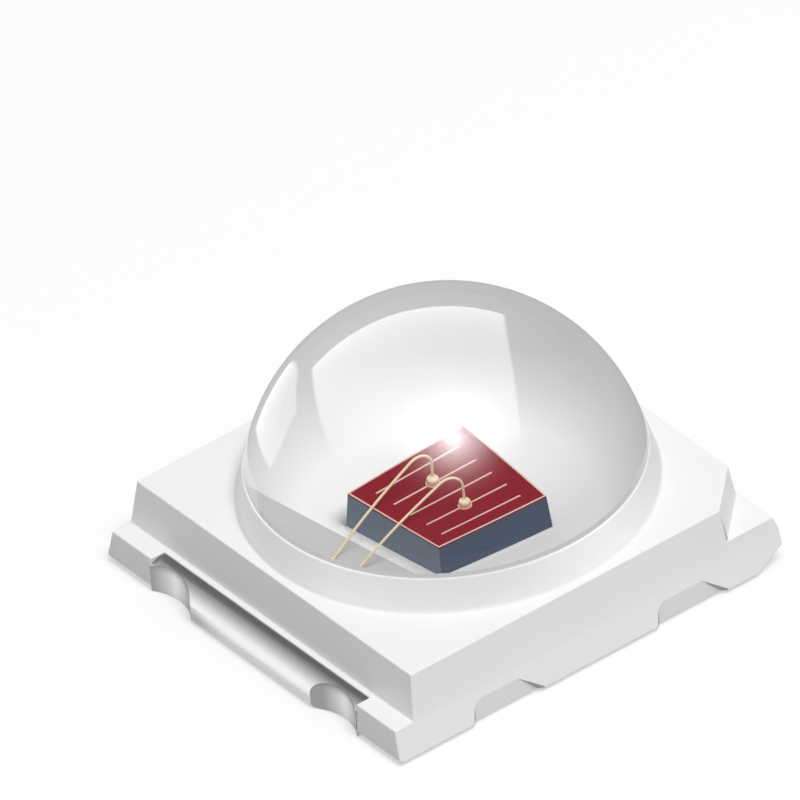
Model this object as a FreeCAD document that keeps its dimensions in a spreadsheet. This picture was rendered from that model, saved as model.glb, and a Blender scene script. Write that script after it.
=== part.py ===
import FreeCAD, Part

import math
import os

import Sketcher

# A surface-mount LED with a clear dome lens. Millimetres, +Z up.
# The origin is on the lens axis, in the plane of the solder pads.
# -X is the side whose lead takes the bond wires, and the polarity corner is at +X, -Y.

# The metal fingers on the chip, from +Y to -Y, and the stitch of the wire that each bond pad takes.
FINGERS = ["finger_1", "finger_2", "finger_3", "finger_4", "finger_5"]
STITCHES = {"finger_2": "sizes.stitch_1_y", "finger_4": "sizes.stitch_2_y"}

# Driving dimensions: name, value, what it is.
SIZES = [
    ("standoff", 0.03, "how far the solder pads stand below the moulding"),
    ("flange_height", 0.27, "from the moulding's bottom to its parting line"),
    ("block_height", 0.39, "from the parting line to the flat top face"),
    ("top_margin", 0.065, "flat top face outside the collar"),
    ("upper_draft", 8, "degrees, every side above the parting line"),
    ("side_flare", 14, "degrees, the Y sides below the parting line"),
    ("ledge_out", 0.18, "width of the -X ledge"),
    ("flange_draft", 4.5, "degrees, the -X flange face"),
    ("bottom_bevel", 0.025, "small bevel along the foot of the -X flange"),
    ("nose_height", 0.11, "the +X ledge above the parting line"),
    ("nose_ledge", 0.02, "width of the +X ledge"),
    ("nose_bevel", 0.04, "how far the +X bevel leans out"),
    ("nose_face", 0.135, "upright height of the +X end below the parting line"),
    ("nose_undercut", 0.28, "how far the +X end is cut back at its foot"),
    ("polarity_chamfer", 0.40, "leg of the corner chamfer that marks the polarity"),
    ("collar_radius", 1.64, "collar where it leaves the top face"),
    ("collar_height", 0.285, "collar above the top face"),
    ("collar_draft", 13.8, "degrees, the outside of the collar"),
    ("rim_wall", 0.16, "thickness of the collar at its rim"),
    ("rim_land", 0.0105, "flat of the rim that the lens leaves bare"),
    ("cavity_draft", 18, "degrees, the wall of the cavity"),
    ("slot_wall", 0.05, "ledge that is left between the block and the -X slot"),
    ("nose_slot", 0.10, "depth of the +X slot"),
    ("recess_width", 0.59, "foot of a side recess"),
    ("recess_height", 0.18, "side recess above the moulding's bottom"),
    ("recess_slant", 0.165, "how far a recess leans in at its +X end"),
    ("recess_corner", 0.08, "rounding of a recess at its -X end"),
    ("recess_spacing", 1.79, "from one side recess to the next"),
    ("recess_taper", 48, "degrees, the end walls of a side recess"),
    ("lead_thickness", 0.42, "lead under the cavity, up to the cavity floor"),
    ("lead_margin", 0.05, "lead beyond the cavity floor"),
    ("lead_gap", 0.13, "moulding between the two leads at the cavity floor"),
    ("lead_lock", 0.20, "height of the step that locks a lead into the moulding"),
    ("bond_lock_step", 0.20, "depth of that step on the wire bond lead"),
    ("die_lock_step", 0.12, "depth of that step on the die pad lead"),
    ("terminal_recess", 0.02, "terminal's top below the parting line"),
    ("terminal_proud", 0.05, "-X terminal beyond the ledge"),
    ("shoulder_radius", 0.14, "rounded top edge of a terminal"),
    ("tuck_radius", 0.045, "rounded foot of a terminal"),
    ("notch_radius", 0.44, "castellation at each end of a terminal"),
    ("notch_width", 0.49, "castellation along the terminal"),
    ("notch_depth", 0.105, "deepest part of a castellation behind the terminal's face"),
    ("lens_drop", 0.025, "centre of the dome below the top face"),
    ("chip_side", 0.71, "square chip"),
    ("chip_height", 0.18, "chip below its light layer"),
    ("chip_margin", 0.065, "die pad lead beyond the chip, towards the other lead"),
    ("attach_height", 0.012, "bonding layer under the chip"),
    ("attach_fillet", 0.01, "bonding layer beyond the chip at its foot"),
    ("layer_height", 0.008, "light layer on the chip"),
    ("film_height", 0.004, "metal film on the light layer"),
    ("edge_line", 0.008, "width of the metal line round the chip's top"),
    ("finger_width", 0.009, "metal finger"),
    ("finger_margin", 0.099, "outer fingers from the chip's sides"),
    ("finger_end", 0.10, "fingers' ends from the chip's sides"),
    ("pad_radius", 0.037, "round bond pad on a finger"),
    ("wire_radius", 0.0075, "bond wire"),
    ("ball_radius", 0.032, "bonded ball at its widest"),
    ("ball_height", 0.034, "bonded ball, squashed flat on its pad"),
    ("loop_rise", 0.12, "upright run of the wire above its pad"),
    ("loop_radius", 0.08, "bend at the top of the wire loop"),
    ("stitch_inset", 0.10, "stitches from the edge of their lead"),
    ("stitch_1_y", 0.20, "stitch of the first wire"),
    ("stitch_2_y", 0.03, "stitch of the second wire"),
    ("stitch_radius", 0.026, "flattened foot of the wire"),
    ("stitch_height", 0.010, "flattened foot of the wire"),
    ("clearance", 0.10, "how far a cutting shape runs past what it cuts"),
]

# Places that follow from the driving dimensions: name, formula.
PLACES = [
    ("parting_z", "sizes.standoff + sizes.flange_height"),
    ("top_z", "parting_z + sizes.block_height"),
    ("top_half", "sizes.collar_radius + sizes.top_margin"),
    ("parting_half", "top_half + sizes.block_height * tan(sizes.upper_draft)"),
    ("foot_half", "parting_half + sizes.flange_height * tan(sizes.side_flare)"),
    ("side_cut_half", "foot_half + sizes.clearance"),
    ("ledge_x", "parting_half + sizes.ledge_out"),
    ("ledge_foot_x", "ledge_x + sizes.flange_height * tan(sizes.flange_draft)"),
    ("nose_z", "parting_z + sizes.nose_height"),
    ("nose_wall_x", "top_half + (top_z - nose_z) * tan(sizes.upper_draft)"),
    ("nose_ledge_x", "nose_wall_x + sizes.nose_ledge"),
    ("nose_x", "nose_ledge_x + sizes.nose_bevel"),
    ("nose_foot_x", "nose_x - sizes.nose_undercut"),
    ("nose_face_z", "parting_z - sizes.nose_face"),
    ("collar_top_z", "top_z + sizes.collar_height"),
    ("collar_top_radius", "sizes.collar_radius - sizes.collar_height * tan(sizes.collar_draft)"),
    ("mouth_radius", "collar_top_radius - sizes.rim_wall"),
    ("floor_radius", "mouth_radius - (collar_top_z - sizes.lead_thickness) * tan(sizes.cavity_draft)"),
    ("lead_half", "floor_radius + sizes.lead_margin"),
    ("slot_x", "parting_half + sizes.slot_wall"),
    ("nose_slot_x", "nose_x - sizes.nose_slot"),
    ("recess_z", "sizes.standoff + sizes.recess_height"),
    ("recess_y", "parting_half + (parting_z - recess_z) * tan(sizes.side_flare)"),
    ("terminal_z", "parting_z - sizes.terminal_recess"),
    ("terminal_x", "ledge_x + sizes.terminal_proud"),
    ("notch_y", "lead_half - sizes.notch_width / 2"),
    ("notch_off", "sizes.notch_radius - sizes.notch_depth"),
    ("die_edge_x", "sizes.chip_side / 2 + sizes.chip_margin"),
    ("bond_edge_x", "die_edge_x + sizes.lead_gap"),
    ("lens_z", "top_z - sizes.lens_drop"),
    ("lens_base_radius", "collar_top_radius - sizes.rim_land"),
    ("lens_radius", "sqrt(lens_base_radius ^ 2 + (collar_top_z - lens_z) ^ 2)"),
    ("chip_z", "sizes.lead_thickness + sizes.attach_height"),
    ("layer_z", "chip_z + sizes.chip_height"),
    ("film_z", "layer_z + sizes.layer_height"),
    ("bond_z", "film_z + sizes.film_height"),
    ("bond_drop", "bond_z - sizes.lead_thickness"),
    ("finger_length", "sizes.chip_side - 2 * sizes.finger_end"),
    ("finger_pitch", f"(sizes.chip_side - 2 * sizes.finger_margin) / {len(FINGERS) - 1}"),
    ("ball_foot_radius", "sqrt(sizes.ball_radius ^ 2 - (sizes.ball_height / 2) ^ 2)"),
    ("stitch_x", "bond_edge_x + sizes.stitch_inset"),
]

doc = FreeCAD.newDocument("led")


# The sheets

def fill_sheet(name, rows):
    """A sheet with one named cell a row: the name, its value or formula, and a note."""
    sheet = doc.addObject("Spreadsheet::Sheet", name)
    for row, (alias, content, *note) in enumerate(rows, start=1):
        sheet.set(f"A{row}", alias)
        sheet.set(f"B{row}", str(content))
        sheet.setAlias(f"B{row}", alias)
        sheet.set(f"C{row}", "".join(note))
    return sheet


sizes = fill_sheet("sizes", SIZES)
places = fill_sheet("places", [(name, "=" + formula) for name, formula in PLACES])
doc.recompute()


def value(expression):
    """The number that an expression on the sheets has now."""
    result = places.evalExpression(expression)
    return float(getattr(result, "Value", result))


def bind(item, **expressions):
    """Binds properties to the sheets. Base__x stands for Base.x."""
    for path, expression in expressions.items():
        item.setExpression(path.replace("__", "."), expression)


# Sketch helpers

def origin_plane(body, role):
    return next(feature for feature in body.Origin.OriginFeatures if feature.Role == role)


def new_sketch(body, role, name, offset="0"):
    """A sketch on one of the body's own origin planes, offset along the plane's normal."""
    sketch = body.newObject("Sketcher::SketchObject", name)
    sketch.AttachmentSupport = (origin_plane(body, role), [""])
    sketch.MapMode = "FlatFace"
    if offset != "0":
        bind(sketch, AttachmentOffset__Base__z=offset)
    return sketch


def pin(sketch, geometry, position, across, up):
    """Holds one point of a sketch at a place that the sheets give."""
    for kind, expression, axis in (("DistanceX", across, -2), ("DistanceY", up, -1)):
        if expression == "0":
            sketch.addConstraint(Sketcher.Constraint("PointOnObject", geometry, position, axis))
            continue
        row = sketch.addConstraint(
            Sketcher.Constraint(kind, -1, 1, geometry, position, value(expression))
        )
        sketch.setExpression(f"Constraints[{row}]", expression)


def bulge(start, end, radius):
    """The middle of an arc from start to end that bulges to the right of the way it goes."""
    chord = end - start
    middle = (start + end) * 0.5
    left = FreeCAD.Vector(-chord.y, chord.x, 0).normalize()
    centre = middle + left * math.sqrt(radius ** 2 - (chord.Length / 2) ** 2)
    return centre - left * radius


def outline(sketch, corners, arcs=None):
    """A closed run through corners, which go anticlockwise. arcs gives the radius of the edges
    that are outward arcs, by the number of the corner that they start from."""
    arcs = arcs or {}
    spots = [FreeCAD.Vector(value(across), value(up), 0) for across, up in corners]
    first = sketch.GeometryCount
    count = len(corners)
    for number, start in enumerate(spots):
        end = spots[(number + 1) % count]
        if number in arcs:
            middle = bulge(start, end, value(arcs[number]))
            row = sketch.addGeometry(Part.Arc(start, middle, end))
            edge = sketch.addConstraint(Sketcher.Constraint("Radius", row, value(arcs[number])))
            sketch.setExpression(f"Constraints[{edge}]", arcs[number])
        else:
            sketch.addGeometry(Part.LineSegment(start, end))
    for number, (across, up) in enumerate(corners):
        following = first + (number + 1) % count
        sketch.addConstraint(Sketcher.Constraint("Coincident", first + number, 2, following, 1))
        pin(sketch, first + number, 1, across, up)


def rectangle(sketch, left, right, low, high):
    outline(sketch, [(left, low), (right, low), (right, high), (left, high)])


def circle(sketch, across, up, radius):
    """A circle whose centre and radius come from the sheets."""
    centre = FreeCAD.Vector(value(across), value(up), 0)
    row = sketch.addGeometry(Part.Circle(centre, FreeCAD.Vector(0, 0, 1), value(radius)))
    pin(sketch, row, 3, across, up)
    size = sketch.addConstraint(Sketcher.Constraint("Radius", row, value(radius)))
    sketch.setExpression(f"Constraints[{size}]", radius)


# Feature helpers

def new_body(name):
    body = doc.addObject("PartDesign::Body", name)
    body.Label = name
    return body


def extrude(body, kind, sketch, length, reverse=False, both_ways=False, taper=None):
    """A Pad or a Pocket of a sketch."""
    feature = body.newObject(f"PartDesign::{kind}", sketch.Name + "_" + kind.lower())
    feature.Profile = sketch
    feature.SideType = "Symmetric" if both_ways else "One side"
    feature.Reversed = reverse
    bind(feature, Length=length)
    if taper:
        bind(feature, TaperAngle=taper)
    return feature


def spin(body, kind, sketch):
    """A Revolution or a Groove of a sketch, all the way round the sketch's upright axis."""
    feature = body.newObject(f"PartDesign::{kind}", sketch.Name + "_" + kind.lower())
    feature.Profile = sketch
    feature.ReferenceAxis = (sketch, ["V_Axis"])
    feature.Angle = 360
    return feature


def cut(name, base, tools):
    """base less the tools, which stay objects of their own."""
    tool = tools[0]
    if len(tools) > 1:
        tool = doc.addObject("Part::MultiFuse", name + "_tools")
        tool.Shapes = tools
    result = doc.addObject("Part::Cut", name)
    result.Base = base
    result.Tool = tool
    result.Label = name
    return result


def block(name, length, width, height, base_z, centre_y="0"):
    """A plain box, centred on the lens axis, or on centre_y across it."""
    box = doc.addObject("Part::Box", name)
    box.Label = name
    bind(box, Length=length, Width=width, Height=height)
    bind(
        box,
        Placement__Base__x=f"-({length}) / 2",
        Placement__Base__y=f"({centre_y}) - ({width}) / 2",
        Placement__Base__z=base_z,
    )
    return box


# The two leads

def mirrored(corners, arcs=None):
    """The same outline on the other side of the lens axis, still anticlockwise."""
    flipped = [(across if across == "0" else f"-({across})", up) for across, up in corners]
    turned = {len(corners) - 2 - number: radius for number, radius in (arcs or {}).items()}
    return flipped[::-1], turned


def lead_section(outer_x, inner_x, lock_step):
    """A lead's outline from the side with its terminal towards +X: the foot and the rounded
    shoulder, the raised part under the cavity, and the step that locks its inner edge."""
    corners = [
        (f"{outer_x} - sizes.tuck_radius", "0"),
        (outer_x, "sizes.tuck_radius"),
        (outer_x, "places.terminal_z - sizes.shoulder_radius"),
        (f"{outer_x} - sizes.shoulder_radius", "places.terminal_z"),
        ("places.lead_half", "places.terminal_z"),
        ("places.lead_half", "sizes.lead_thickness"),
        (inner_x, "sizes.lead_thickness"),
        (inner_x, "sizes.lead_lock"),
        (f"{inner_x} + {lock_step}", "sizes.lead_lock"),
        (f"{inner_x} + {lock_step}", "0"),
    ]
    return corners, {0: "sizes.tuck_radius", 2: "sizes.shoulder_radius"}


def make_lead(name, section, notch_x):
    """A lead of one section across the package, with a castellation at each end of its terminal."""
    body = new_body(name)
    profile = new_sketch(body, "XZ_Plane", name + "_section")
    outline(profile, *section)
    extrude(body, "Pad", profile, "2 * places.lead_half", both_ways=True)
    notches = new_sketch(body, "XY_Plane", name + "_notches")
    for side in ("", "-"):
        circle(notches, notch_x, f"{side}places.notch_y", "sizes.notch_radius")
    extrude(body, "Pocket", notches, "sizes.lead_thickness", reverse=True)
    return body


def make_leads():
    bond = lead_section("places.terminal_x", "places.bond_edge_x", "sizes.bond_lock_step")
    bond_notch = "-(places.terminal_x + places.notch_off)"
    die = lead_section("places.nose_x", "-places.die_edge_x", "sizes.die_lock_step")
    die_notch = "places.nose_x + places.notch_off"
    return [
        make_lead("wire_bond_lead", mirrored(*bond), bond_notch),
        make_lead("die_pad_lead", die, die_notch),
    ]


# The housing

def add_block(body):
    """The moulding's section along X: top face, -X ledge and flange, +X nose with its undercut."""
    section = new_sketch(body, "XZ_Plane", "block_section")
    outline(section, [
        ("-(places.ledge_foot_x - sizes.bottom_bevel)", "sizes.standoff"),
        ("places.nose_foot_x", "sizes.standoff"),
        ("places.nose_x", "places.nose_face_z"),
        ("places.nose_x", "places.parting_z"),
        ("places.nose_ledge_x", "places.nose_z"),
        ("places.nose_wall_x", "places.nose_z"),
        ("places.top_half", "places.top_z"),
        ("-places.top_half", "places.top_z"),
        ("-places.parting_half", "places.parting_z"),
        ("-places.ledge_x", "places.parting_z"),
        ("-places.ledge_foot_x", "sizes.standoff + sizes.bottom_bevel"),
    ])
    extrude(body, "Pad", section, "2 * places.side_cut_half", both_ways=True)


def trim_sides(body):
    """Drafts the Y sides above the parting line and flares them below it."""
    sides = new_sketch(body, "YZ_Plane", "side_trim")
    low = "sizes.standoff - sizes.clearance"
    high = "places.top_z + sizes.clearance"
    outer = "(places.side_cut_half + sizes.clearance)"
    edge = [
        ("places.foot_half", low),
        (outer, low),
        (outer, high),
        ("places.top_half", high),
        ("places.top_half", "places.top_z"),
        ("places.parting_half", "places.parting_z"),
        ("places.foot_half", "sizes.standoff"),
    ]
    outline(sides, edge)
    outline(sides, *mirrored(edge))
    extrude(body, "Pocket", sides, "2 * (places.ledge_foot_x + sizes.clearance)", both_ways=True)


def chamfer_corner(body):
    """The polarity mark: the block's corner is cut off down to the +X ledge, with draft."""
    corner = new_sketch(body, "XY_Plane", "polarity_corner", "places.top_z")
    run = "sizes.polarity_chamfer"
    outline(corner, [
        (f"places.top_half - 2 * {run}", f"-(places.top_half + {run})"),
        (f"places.top_half + {run}", f"-(places.top_half + {run})"),
        (f"places.top_half + {run}", f"-(places.top_half - 2 * {run})"),
    ])
    extrude(body, "Pocket", corner, "places.top_z - places.nose_z", taper="-sizes.upper_draft")


def add_collar(body):
    """The raised ring round the cavity, and the cavity down to the leads."""
    collar = new_sketch(body, "XZ_Plane", "collar")
    outline(collar, [
        ("0", "places.top_z"),
        ("sizes.collar_radius", "places.top_z"),
        ("places.collar_top_radius", "places.collar_top_z"),
        ("0", "places.collar_top_z"),
    ])
    spin(body, "Revolution", collar)
    cavity = new_sketch(body, "XZ_Plane", "cavity")
    outline(cavity, [
        ("0", "sizes.lead_thickness"),
        ("places.floor_radius", "sizes.lead_thickness"),
        ("places.mouth_radius", "places.collar_top_z"),
        ("places.mouth_radius", "places.collar_top_z + sizes.clearance"),
        ("0", "places.collar_top_z + sizes.clearance"),
    ])
    spin(body, "Groove", cavity)


def cut_slots(body):
    """The open slot in the -X ledge and the one under the +X nose, where the terminals show."""
    slot = new_sketch(body, "XY_Plane", "ledge_slot", "places.parting_z")
    width = ("-places.lead_half", "places.lead_half")
    rectangle(slot, "-(places.ledge_foot_x + sizes.clearance)", "-places.slot_x", *width)
    extrude(body, "Pocket", slot, "sizes.flange_height + sizes.clearance")
    nose_slot = new_sketch(body, "XY_Plane", "nose_slot", "places.parting_z")
    rectangle(nose_slot, "places.nose_slot_x", "places.nose_x + sizes.clearance", *width)
    extrude(body, "Pocket", nose_slot, "sizes.flange_height + sizes.clearance")


def cut_recesses(body):
    """Two recesses in the foot of each Y side. Their floors are upright, so they fade out upward."""
    recesses = new_sketch(body, "XZ_Plane", "side_recesses", "places.recess_y")
    for side in ("-", ""):
        middle = f"{side}sizes.recess_spacing / 2"
        left = f"({middle} - sizes.recess_width / 2)"
        right = f"({middle} + sizes.recess_width / 2)"
        outline(recesses, [
            (left, "sizes.standoff - sizes.clearance"),
            (right, "sizes.standoff - sizes.clearance"),
            (right, "sizes.standoff"),
            (f"{right} - sizes.recess_slant", "places.recess_z"),
            (f"{left} + sizes.recess_corner", "places.recess_z"),
            (left, "places.recess_z - sizes.recess_corner"),
        ], {4: "sizes.recess_corner"})
    pocket = extrude(
        body, "Pocket", recesses, "sizes.clearance", reverse=True, taper="sizes.recess_taper"
    )
    mirror = body.newObject("PartDesign::Mirrored", "far_side_recesses")
    mirror.Originals = [pocket]
    mirror.MirrorPlane = (origin_plane(body, "XZ_Plane"), [""])
    body.Tip = mirror


def make_housing(leads):
    """The moulding is formed round the leads, so their shape is cut out of it."""
    body = new_body("moulding")
    add_block(body)
    trim_sides(body)
    chamfer_corner(body)
    add_collar(body)
    cut_slots(body)
    cut_recesses(body)
    return cut("housing", body, leads)


# The chip

def make_chip():
    """The chip from its bonding layer up to the metal film on its light layer."""
    attach = new_body("die_attach")
    foot = new_sketch(attach, "XZ_Plane", "attach_section")
    half = "sizes.chip_side / 2"
    outline(foot, [
        (f"-({half} + sizes.attach_fillet)", "sizes.lead_thickness"),
        (f"{half} + sizes.attach_fillet", "sizes.lead_thickness"),
        (half, "places.chip_z"),
        (f"-({half})", "places.chip_z"),
    ])
    extrude(attach, "Pad", foot, "sizes.chip_side", both_ways=True)
    side = "sizes.chip_side"
    chip = block("chip_body", side, side, "sizes.chip_height", "places.chip_z")
    layer = block("light_layer", side, side, "sizes.layer_height", "places.layer_z")
    return [attach, chip, layer]


def make_edge_electrode():
    """The thin metal line round the chip's top."""
    body = new_body("edge_electrode")
    frame = new_sketch(body, "XY_Plane", "edge_frame", "places.film_z")
    outer = "sizes.chip_side / 2"
    inner = f"({outer} - sizes.edge_line)"
    rectangle(frame, f"-{outer}", outer, f"-{outer}", outer)
    rectangle(frame, f"-{inner}", inner, f"-{inner}", inner)
    extrude(body, "Pad", frame, "sizes.film_height")
    return body


def finger_y(name):
    """Where a finger lies across the chip, as an expression."""
    place = (len(FINGERS) - 1) / 2 - FINGERS.index(name)
    return f"{place} * places.finger_pitch"


def make_finger(name):
    """One metal line along X. Those that take a wire have a round bond pad at their middle."""
    centre = finger_y(name)
    padded = name in STITCHES
    line = block(
        name + "_line" if padded else name,
        "places.finger_length",
        "sizes.finger_width",
        "sizes.film_height",
        "places.film_z",
        centre,
    )
    if not padded:
        return line
    pad = doc.addObject("Part::Cylinder", name + "_pad")
    bind(pad, Radius="sizes.pad_radius", Height="sizes.film_height")
    bind(pad, Placement__Base__y=centre, Placement__Base__z="places.film_z")
    finger = doc.addObject("Part::Fuse", name)
    finger.Label = name
    finger.Base = line
    finger.Tool = pad
    return finger


# The bond wires

def add_ball(body, name):
    """The ball that the wire starts from: a slice through a ball, flat on its pad."""
    ball = new_sketch(body, "XZ_Plane", name + "_ball")
    outline(ball, [
        ("0", "0"),
        ("places.ball_foot_radius", "0"),
        ("places.ball_foot_radius", "sizes.ball_height"),
        ("0", "sizes.ball_height"),
    ], {1: "sizes.ball_radius"})
    spin(body, "Revolution", ball)


def add_loop(body, name, span):
    """The wire: upright out of the ball, one bend, and straight down to its stitch. The bend's
    end starts here at a first guess, and the two tangents settle it."""
    route = new_sketch(body, "XZ_Plane", name + "_route")
    rise = value("sizes.loop_rise")
    bend = value("sizes.loop_radius")
    first_guess = math.radians(30)
    start = FreeCAD.Vector(0, value("sizes.ball_height / 2"), 0)
    top = FreeCAD.Vector(0, rise, 0)
    centre = FreeCAD.Vector(-bend, rise, 0)
    crown = centre + FreeCAD.Vector(0, bend, 0)
    leave = centre + FreeCAD.Vector(-math.sin(first_guess), math.cos(first_guess), 0) * bend
    end_x = f"-{span}"
    end_z = "-(places.bond_drop - sizes.stitch_height)"
    end = FreeCAD.Vector(value(end_x), value(end_z), 0)
    route.addGeometry(Part.LineSegment(start, top))
    route.addGeometry(Part.Arc(top, crown, leave))
    route.addGeometry(Part.LineSegment(leave, end))
    pin(route, 0, 1, "0", "sizes.ball_height / 2")
    pin(route, 0, 2, "0", "sizes.loop_rise")
    pin(route, 2, 2, end_x, end_z)
    route.addConstraint(Sketcher.Constraint("Tangent", 0, 2, 1, 1))
    route.addConstraint(Sketcher.Constraint("Tangent", 1, 2, 2, 1))
    size = route.addConstraint(Sketcher.Constraint("Radius", 1, bend))
    route.setExpression(f"Constraints[{size}]", "sizes.loop_radius")
    section = new_sketch(body, "XY_Plane", name + "_section", "sizes.ball_height / 2")
    circle(section, "0", "0", "sizes.wire_radius")
    pipe = body.newObject("PartDesign::AdditivePipe", name + "_pipe")
    pipe.Profile = section
    pipe.Spine = (route, ["Edge1", "Edge2", "Edge3"])


def add_stitch(body, name, span):
    """The end of the wire, pressed flat on its lead."""
    stitch = new_sketch(body, "XY_Plane", name + "_stitch", "-places.bond_drop")
    circle(stitch, f"-{span}", "0", "sizes.stitch_radius")
    extrude(body, "Pad", stitch, "sizes.stitch_height")


def make_wire(name, pad_y, stitch_y):
    """One bond wire with its ball and its stitch, modelled along -X from its pad and then turned
    about the pad towards its stitch."""
    body = new_body(name)
    across = f"({pad_y} - {stitch_y})"
    span = f"sqrt(places.stitch_x ^ 2 + {across} ^ 2)"
    add_ball(body, name)
    add_loop(body, name, span)
    add_stitch(body, name, span)
    bind(
        body,
        Placement__Base__y=pad_y,
        Placement__Base__z="places.bond_z",
        Placement__Rotation__Yaw=f"atan2({across}; places.stitch_x)",
    )
    return body


# The lens

def make_lens(buried):
    """The dome and the fill of the cavity, cast in one round everything that is buried in it."""
    body = new_body("casting")
    profile = new_sketch(body, "XZ_Plane", "lens_profile")
    outline(profile, [
        ("0", "sizes.lead_thickness"),
        ("places.floor_radius", "sizes.lead_thickness"),
        ("places.mouth_radius", "places.collar_top_z"),
        ("places.lens_base_radius", "places.collar_top_z"),
        ("0", "places.lens_z + places.lens_radius"),
    ], {3: "places.lens_radius"})
    spin(body, "Revolution", profile)
    return cut("lens", body, buried)


# The whole LED

leads = make_leads()
buried = make_chip() + [make_edge_electrode()]
buried += [make_finger(name) for name in FINGERS]
for number, (finger, stitch_y) in enumerate(STITCHES.items(), start=1):
    buried.append(make_wire(f"bond_wire_{number}", finger_y(finger), stitch_y))
parts = leads + buried + [make_housing(leads), make_lens(buried)]
doc.recompute()

for item in doc.Objects:
    if "Invalid" in item.State or "Error" in item.State:
        raise RuntimeError(f"{item.Name} failed: {item.State}")
for part in parts:
    if part.Shape.isNull() or not part.Shape.isValid():
        raise RuntimeError(f"{part.Label} has no valid shape")

os.makedirs("parts", exist_ok=True)
for part in parts:
    part.Shape.exportStep(f"parts/{part.Label}.step")
    size = part.Shape.optimalBoundingBox()
    print(
        f"{part.Label}: {len(part.Shape.Solids)} solid, {part.Shape.Volume:.5f} mm3,"
        f" x {size.XMin:.3f} to {size.XMax:.3f}, y {size.YMin:.3f} to {size.YMax:.3f},"
        f" z {size.ZMin:.3f} to {size.ZMax:.3f}"
    )
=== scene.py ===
# %% [markdown]
# # A surface-mount LED with a clear dome
#
# The real part is a few millimetres wide. A white moulded housing is formed round two plated leads,
# a square chip sits on one of them, two gold wires run from the chip to the other, and clear
# silicone is cast over all of it as a half-ball lens. The solid model comes in as a fixed frame, so
# every piece here takes its place and size from it. Each step below adds one piece or one finish.

# %% Load the frame
import math

import bmesh
import bpy
from mathutils import Matrix, Vector


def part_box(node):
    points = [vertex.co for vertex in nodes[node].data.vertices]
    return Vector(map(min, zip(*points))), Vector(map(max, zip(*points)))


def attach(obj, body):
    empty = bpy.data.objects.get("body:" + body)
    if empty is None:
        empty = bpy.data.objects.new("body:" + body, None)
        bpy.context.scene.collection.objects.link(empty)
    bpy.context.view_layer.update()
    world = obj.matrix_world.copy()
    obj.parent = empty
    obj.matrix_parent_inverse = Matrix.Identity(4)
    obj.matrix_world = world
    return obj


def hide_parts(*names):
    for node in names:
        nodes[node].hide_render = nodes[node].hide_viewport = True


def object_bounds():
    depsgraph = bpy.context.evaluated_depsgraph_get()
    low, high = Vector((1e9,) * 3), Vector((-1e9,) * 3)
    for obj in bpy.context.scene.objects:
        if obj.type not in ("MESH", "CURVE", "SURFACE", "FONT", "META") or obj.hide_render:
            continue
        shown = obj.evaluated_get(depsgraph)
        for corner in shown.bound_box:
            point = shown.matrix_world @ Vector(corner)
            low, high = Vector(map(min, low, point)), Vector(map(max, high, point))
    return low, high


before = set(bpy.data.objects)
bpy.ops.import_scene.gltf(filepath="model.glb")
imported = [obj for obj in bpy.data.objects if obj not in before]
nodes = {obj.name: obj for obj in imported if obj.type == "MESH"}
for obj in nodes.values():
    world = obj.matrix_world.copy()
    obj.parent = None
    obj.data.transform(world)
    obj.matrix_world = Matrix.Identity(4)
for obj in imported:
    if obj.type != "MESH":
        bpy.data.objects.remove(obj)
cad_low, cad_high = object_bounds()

MM = 0.001
print("pieces in the frame:", sorted(nodes))
print("size in mm:", [round((high - low) / MM, 3) for low, high in zip(cad_low, cad_high)])

# %% [markdown]
# A material is a small net of nodes. Written as Python it reads better as sums, so one class wraps a
# socket and turns operators into Math nodes.

# %% A socket that takes part in sums
class Wire:
    """An output socket. Sums with it add Math nodes to its tree."""

    def __init__(self, tree, socket):
        self.tree, self.socket = tree, socket

    def math(self, operation, first, second=0):
        return self.tree.node("Math", {"operation": operation}, {0: first, 1: second})

    def __add__(self, other):
        return self.math("ADD", self, other)

    def __sub__(self, other):
        return self.math("SUBTRACT", self, other)

    def __rsub__(self, other):
        return self.math("SUBTRACT", other, self)

    def __mul__(self, other):
        return self.math("MULTIPLY", self, other)

    def __truediv__(self, other):
        return self.math("DIVIDE", self, other)

    def __pow__(self, other):
        return self.math("POWER", self, other)

    def __abs__(self):
        return self.math("ABSOLUTE", self)

    def at_least(self, other):
        return self.math("MAXIMUM", self, other)

    def at_most(self, other):
        return self.math("MINIMUM", self, other)

    def below(self, limit):
        """1 where it is less than the limit, and 0 elsewhere."""
        return self.math("LESS_THAN", self, limit)

    __radd__, __rmul__ = __add__, __mul__


# %% [markdown]
# Every other node comes from one method, which takes the node's type, its settings and the values or
# links of its sockets. Colours and vectors have nodes of their own, because a Math node would turn
# them into single numbers.

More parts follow.
